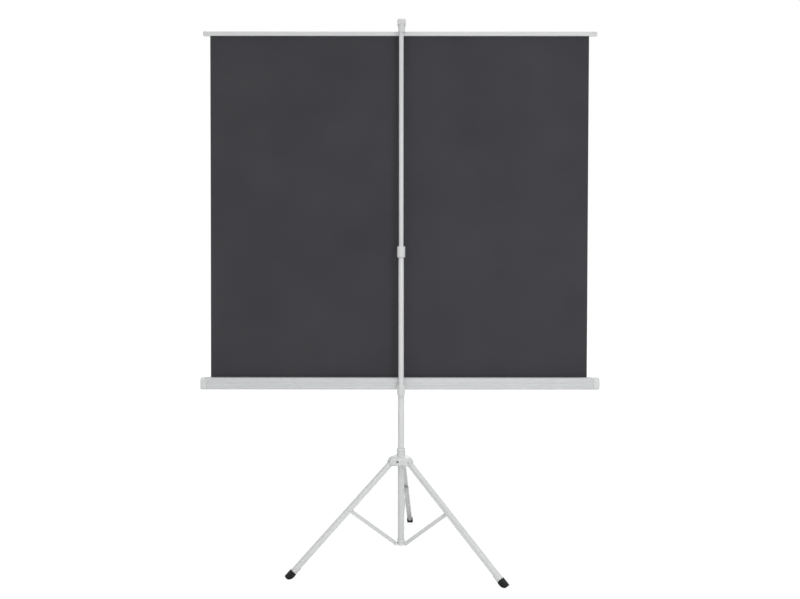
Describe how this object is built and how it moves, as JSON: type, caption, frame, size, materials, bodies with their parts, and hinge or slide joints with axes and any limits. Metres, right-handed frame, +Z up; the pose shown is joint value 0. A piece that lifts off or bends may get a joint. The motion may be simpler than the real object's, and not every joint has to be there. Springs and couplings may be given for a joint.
{
  "type": "tripod projection screen",
  "caption": "Portable projection screen on a folding tripod: a telescoping mast carries a roller case, and the fabric is pulled up and hung from a hook on top.",
  "frame": {"origin": "on the floor, under the middle of the box round the whole screen", "axes": "+Z up, +Y towards the viewing side, +X to the right as seen from behind"},
  "size_m": [1.58, 0.7402, 2.114],
  "materials": {
    "frame_paint": "satin light grey paint",
    "grey_plastic": "fine moulded texture",
    "steel": "zinc plated",
    "rubber": "matt",
    "nylon": "natural",
    "screen_cloth": "matt white viewing side, charcoal back"
  },
  "bodies": {
    "mast_base": {"lower_tube": "frame_paint", "tube_ferrule": "grey_plastic", "tube_end_plug": "grey_plastic", "leg_bracket": "frame_paint"},
    "brace_left": {"strut_left": "frame_paint", "bracket_rivet_left": "frame_paint"},
    "limb_left": {"leg_left": "frame_paint", "boot_left": "rubber", "strut_rivet_left": "frame_paint"},
    "brace_right": {"strut_right": "frame_paint", "bracket_rivet_right": "frame_paint"},
    "limb_right": {"leg_right": "frame_paint", "boot_right": "rubber", "strut_rivet_right": "frame_paint"},
    "brace_rear": {"strut_rear": "frame_paint", "bracket_rivet_rear": "frame_paint"},
    "limb_rear": {"leg_rear": "frame_paint", "boot_rear": "rubber", "strut_rivet_rear": "frame_paint"},
    "hub_slider": {"hub": "grey_plastic", "hub_bush": "grey_plastic", "hub_pin_left": "frame_paint", "hub_pin_right": "frame_paint", "hub_pin_rear": "frame_paint"},
    "mast_mid": {"mid_tube": "frame_paint", "mid_tube_bush": "nylon", "case_carrier": "grey_plastic", "swivel_washer": "nylon", "swivel_bolt": "steel", "lock_collet": "nylon"},
    "twist_lock": {"twist_collar": "grey_plastic"},
    "mast_top": {"upper_tube": "frame_paint", "upper_tube_plug": "nylon", "top_cap": "grey_plastic", "cap_head": "grey_plastic"},
    "case": {"case_shell": "frame_paint", "case_cap_left": "grey_plastic", "case_cap_right": "grey_plastic", "spring_arbor": "steel", "roller_gudgeon": "steel", "roller_spring": "steel", "screen_fabric": "screen_cloth"},
    "roller": {"roller_tube": "steel", "roller_plug_left": "nylon", "roller_plug_right": "nylon", "spring_anchor": "nylon", "wound_fabric": "screen_cloth"},
    "screen": {"top_bar": "frame_paint", "bar_cap_left": "grey_plastic", "bar_cap_right": "grey_plastic", "bar_hanger": "steel", "hem_rod": "steel"}
  },
  "joints": [
    {"name": "leg_fold", "type": "hinge", "parent": "mast_base", "child": "brace_left", "pos_m": [-0.01716, -0.09937, 0.065], "axis": [-0.4226, 0.9063, 0], "range_deg": [0, 49]},
    {"name": "leg_left_pivot", "type": "hinge", "parent": "brace_left", "child": "limb_left", "pos_m": [-0.19271, -0.18123, 0.22037], "axis": [-0.4226, 0.9063, 0], "range_deg": [-96.13, 0]},
    {"name": "brace_right_pivot", "type": "hinge", "parent": "mast_base", "child": "brace_right", "pos_m": [0.02121, -0.10794, 0.065], "axis": [-0.5736, -0.8192, 0], "range_deg": [0, 49]},
    {"name": "leg_right_pivot", "type": "hinge", "parent": "brace_right", "child": "limb_right", "pos_m": [0.17988, -0.21904, 0.22037], "axis": [-0.5736, -0.8192, 0], "range_deg": [-96.13, 0]},
    {"name": "brace_rear_pivot", "type": "hinge", "parent": "mast_base", "child": "brace_rear", "pos_m": [0.00945, -0.07043, 0.065], "axis": [0.9962, -0.0872, 0], "range_deg": [0, 49]},
    {"name": "leg_rear_pivot", "type": "hinge", "parent": "brace_rear", "child": "limb_rear", "pos_m": [0.02633, 0.12254, 0.22037], "axis": [0.9962, -0.0872, 0], "range_deg": [-96.13, 0]},
    {"name": "hub_slide", "type": "hinge", "parent": "limb_left", "child": "hub_slider", "pos_m": [-0.02214, -0.10169, 0.388], "axis": [-0.4226, 0.9063, 0], "range_deg": [0, 47.13]},
    {"name": "mast_lift", "type": "slide", "parent": "mast_base", "child": "mast_mid", "axis": [0, 0, 1], "range_m": [0, 0.3]},
    {"name": "height_lock", "type": "hinge", "parent": "mast_mid", "child": "twist_lock", "pos_m": [0.0045, -0.09258, 1.204], "axis": [0, 0, 1], "range_deg": [0, 90]},
    {"name": "screen_raise", "type": "slide", "parent": "mast_mid", "child": "mast_top", "axis": [0, 0, 1], "range_m": [-0.8, 0]},
    {"name": "case_swivel", "type": "hinge", "parent": "mast_mid", "child": "case", "pos_m": [0.0045, -0.07458, 0.674], "axis": [0, 1, 0], "range_deg": [0, 55]},
    {"name": "roller_spin", "type": "hinge", "parent": "case", "child": "roller", "pos_m": [0, -0.05308, 0.683], "axis": [1, 0, 0], "range_deg": [-2720, 0]},
    {"name": "screen_pull", "type": "slide", "parent": "case", "child": "screen", "axis": [0, 0, 1], "range_m": [-0.8, 0], "deforming": ["screen_fabric"]}
  ],
  "couplings": [
    {"joint": "leg_left_pivot", "follows": "leg_fold", "ratio": -1.9618},
    {"joint": "brace_right_pivot", "follows": "leg_fold", "ratio": 1},
    {"joint": "leg_right_pivot", "follows": "leg_fold", "ratio": -1.9618},
    {"joint": "brace_rear_pivot", "follows": "leg_fold", "ratio": 1},
    {"joint": "leg_rear_pivot", "follows": "leg_fold", "ratio": -1.9618},
    {"joint": "hub_slide", "follows": "leg_fold", "ratio": 0.9618},
    {"joint": "screen_pull", "follows": "screen_raise", "ratio": 1},
    {"joint": "roller_spin", "follows": "screen_raise", "rad_per_m": 59.172}
  ]
}
